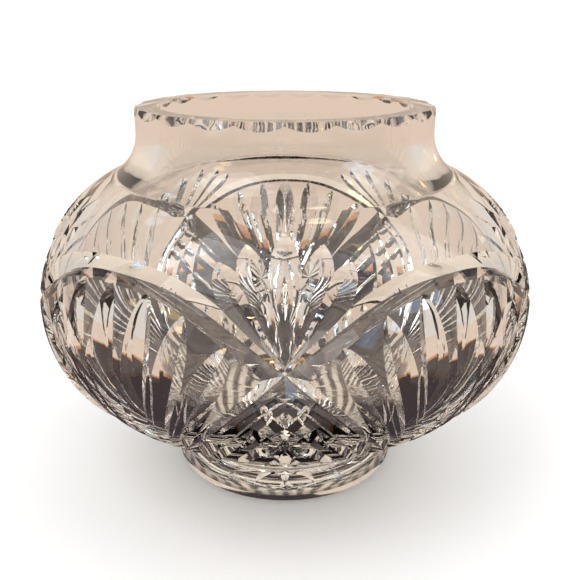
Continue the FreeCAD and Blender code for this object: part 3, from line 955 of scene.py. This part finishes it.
class VASE_OT_stage(bpy.types.Operator):
    """Make the floor, the cards, the lamps and the camera"""
    bl_idname = "vase.stage"
    bl_label = "Make Stage"

    def execute(self, context):
        stage = context.scene.rose_bowl_stage
        self.make_floor(stage)
        self.make_table_card(stage)
        self.make_room(stage)
        self.make_world()
        self.make_lamps()
        self.make_camera()
        cycles = context.scene.cycles
        cycles.max_bounces = BOUNCES
        cycles.transmission_bounces = BOUNCES
        cycles.glossy_bounces = GLOSSY_BOUNCES
        return {"FINISHED"}

    def make_floor(self, stage):
        mesh = bpy.data.meshes.new("floor")
        corners = ((-1, -1), (1, -1), (1, 1), (-1, 1))
        mesh.from_pydata([(x * FLOOR_HALF_SIZE, y * FLOOR_HALF_SIZE, -FLOOR_DROP) for x, y in corners],
                         [], [(0, 1, 2, 3)])
        floor = new_object("floor", mesh)
        material = bpy.data.materials.new("Pale Floor")
        material.use_nodes = True
        tree = material.node_tree
        set_inputs(tree, tree.nodes["Principled BSDF"],
                   {"Base Color": (*stage.floor_colour, 1.0), "Roughness": 0.7})
        mesh.materials.append(material)

    def make_table_card(self, stage):
        """A warm glowing sheet over the floor that only the glass sees, with painted shade round the vase and
        painted light under its foot.
        """
        material, tree, glow = one_shader("Warm Card", "ShaderNodeEmission")
        place = node(tree, "ShaderNodeTexCoord").outputs["Object"]
        shifted = node(tree, "ShaderNodeVectorMath", {0: place, 1: PAINTED_SHADE_CENTRE}, operation="SUBTRACT")
        scaled = node(tree, "ShaderNodeVectorMath", {0: shifted.outputs["Vector"], 1: PAINTED_SHADE_SIZE},
                      operation="DIVIDE")
        outward = node(tree, "ShaderNodeVectorMath", {0: scaled.outputs["Vector"]}, operation="LENGTH")
        # Painted shade round the vase, with an orange edge, then the table's colour
        painted_shade_and_table = self.ramp(tree, outward.outputs["Value"],
                        PAINTED_SHADE_COLOURS + ((TABLE_START, tuple(stage.table_colour)),))
        # Painted light under the foot, in light and dark bands
        painted_light_bands = node(tree, "ShaderNodeTexWave",
                     {"Vector": place, "Scale": 60.0, "Distortion": 3.0, "Detail": 0.0, "Detail Scale": 0.5},
                     wave_type="BANDS", bands_direction="X")
        painted_light = self.ramp(tree, painted_light_bands.outputs["Fac"], PAINTED_LIGHT_COLOURS)
        from_axis = node(tree, "ShaderNodeVectorMath", {0: place}, operation="LENGTH")
        colour = self.mixed(tree, from_axis.outputs["Value"], PAINTED_LIGHT_LIMITS, painted_shade_and_table, painted_light)
        set_inputs(tree, glow, {"Color": colour})
        made = bmesh.new()
        bmesh.ops.create_circle(made, cap_ends=True, segments=96, radius=CARD_RADIUS)
        for vert in made.verts:
            vert.co.z = -CARD_DROP
        self.add_card("table_card", made, material)

    def make_room(self, stage):
        """A glowing dome of warm and dark patches, like a room, that only the glass sees: painted light for
        its reflections and refractions.
        """
        material, tree, glow = one_shader("Room Card", "ShaderNodeEmission")
        place = node(tree, "ShaderNodeTexCoord").outputs["Object"]
        unit = node(tree, "ShaderNodeVectorMath", {0: place}, operation="NORMALIZE").outputs["Vector"]
        parts = node(tree, "ShaderNodeSeparateXYZ", {"Vector": unit}).outputs
        wall = self.ramp(tree, parts["Z"], ((0.0, tuple(stage.table_colour)),) + WALL_COLOURS)
        front = self.mixed(tree, parts["Y"], FRONT_LIMITS, wall, FRONT_COLOUR)
        sideways = node(tree, "ShaderNodeMath", {0: parts["X"]}, operation="ABSOLUTE")
        colour = self.mixed(tree, sideways.outputs["Value"], SIDE_LIMITS, front, SIDE_COLOUR)
        for name, direction, reach, patch in ROOM_PATCHES:
            toward = node(tree, "ShaderNodeVectorMath", {0: unit, 1: Vector(direction).normalized()},
                          operation="DOT_PRODUCT", label=name)
            edge = math.cos(math.radians(reach))
            colour = self.mixed(tree, toward.outputs["Value"], (edge, edge + PATCH_EDGE), colour, patch)
        set_inputs(tree, glow, {"Color": colour})
        made = bmesh.new()
        bmesh.ops.create_uvsphere(made, u_segments=64, v_segments=32, radius=ROOM_RADIUS)
        self.add_card("room_card", made, material)

    def ramp(self, tree, value, stops):
        """The colour that a row of places and colours has at a value."""
        made = node(tree, "ShaderNodeValToRGB", {"Fac": value})
        elements = made.color_ramp.elements
        while len(elements) > 1:
            elements.remove(elements[-1])
        for index, (place, colour) in enumerate(stops):
            element = elements[0] if index == 0 else elements.new(place)
            element.position = place
            element.color = (*colour, 1.0)
        return made.outputs["Color"]

    def mixed(self, tree, value, limits, colour, other):
        """Goes smoothly from one colour to another while a value goes from limit to limit."""
        share = node(tree, "ShaderNodeMapRange",
                     {"Value": value, "From Min": limits[0], "From Max": limits[1]},
                     interpolation_type="SMOOTHSTEP")
        if isinstance(other, tuple):
            other = (*other, 1.0)
        mix = node(tree, "ShaderNodeMix", {"Factor": share.outputs["Result"], "A": colour, "B": other},
                   data_type="RGBA")
        return mix.outputs["Result"]

    def add_card(self, name, made, material):
        """A card that shows in the glass, and gives the floor and the camera nothing."""
        mesh = finished_mesh(name, made)
        mesh.materials.append(material)
        card = new_object(name, mesh)
        card.visible_camera = False
        card.visible_diffuse = False
        card.visible_shadow = False

    def make_world(self):
        world = bpy.data.worlds.new("Studio")
        bpy.context.scene.world = world
        world.use_nodes = True
        tree = world.node_tree
        set_inputs(tree, tree.nodes["Background"],
                   {"Color": (1.0, 1.0, 1.0, 1.0), "Strength": WORLD_STRENGTH})

    def make_lamps(self):
        for name, place, size, power in LAMPS:
            lamp = bpy.data.lights.new(name, "AREA")
            lamp.size = size
            lamp.energy = power
            made = new_object(name, lamp)
            made.location = place
            made.rotation_euler = (Vector(LAMP_TARGET) - Vector(place)).to_track_quat("-Z", "Y").to_euler()

    def make_camera(self):
        data = bpy.data.cameras.new("camera")
        data.sensor_width = SENSOR_WIDTH
        data.sensor_fit = "HORIZONTAL"
        data.lens = LENS
        data.shift_x = SHIFT
        data.clip_start = 0.01
        camera = new_object("camera", data)
        camera.location = CAMERA_PLACE
        camera.rotation_euler = (math.radians(90.0 - CAMERA_TILT), 0.0, 0.0)
        bpy.context.scene.camera = camera


class VASE_PT_panel(bpy.types.Panel):
    """Lists the vase's pieces and its stage"""
    bl_label = "Rose Bowl"
    bl_idname = "VASE_PT_panel"
    bl_space_type = "VIEW_3D"
    bl_region_type = "UI"
    bl_category = "Rose Bowl"

    def draw(self, context):
        for operator in (VASE_OT_bowl, VASE_OT_foot, VASE_OT_stage):
            self.layout.operator(operator.bl_idname)


classes = (BowlSettings, FootSettings, GlassSettings, StageSettings, VASE_OT_bowl, VASE_OT_foot,
           VASE_OT_stage, VASE_PT_panel)


def register():
    for item in classes:
        bpy.utils.register_class(item)
    bpy.types.Scene.rose_bowl = bpy.props.PointerProperty(type=BowlSettings)
    bpy.types.Scene.rose_bowl_foot = bpy.props.PointerProperty(type=FootSettings)
    bpy.types.Scene.rose_bowl_glass = bpy.props.PointerProperty(type=GlassSettings)
    bpy.types.Scene.rose_bowl_stage = bpy.props.PointerProperty(type=StageSettings)


def unregister():
    del bpy.types.Scene.rose_bowl_stage
    del bpy.types.Scene.rose_bowl_glass
    del bpy.types.Scene.rose_bowl_foot
    del bpy.types.Scene.rose_bowl
    for item in reversed(classes):
        bpy.utils.unregister_class(item)


def main():
    register()
    bpy.ops.vase.bowl()
    bpy.ops.vase.foot()
    bpy.ops.vase.stage()
    bpy.context.scene.view_settings.view_transform = "Standard"


if __name__ == "__main__":
    main()
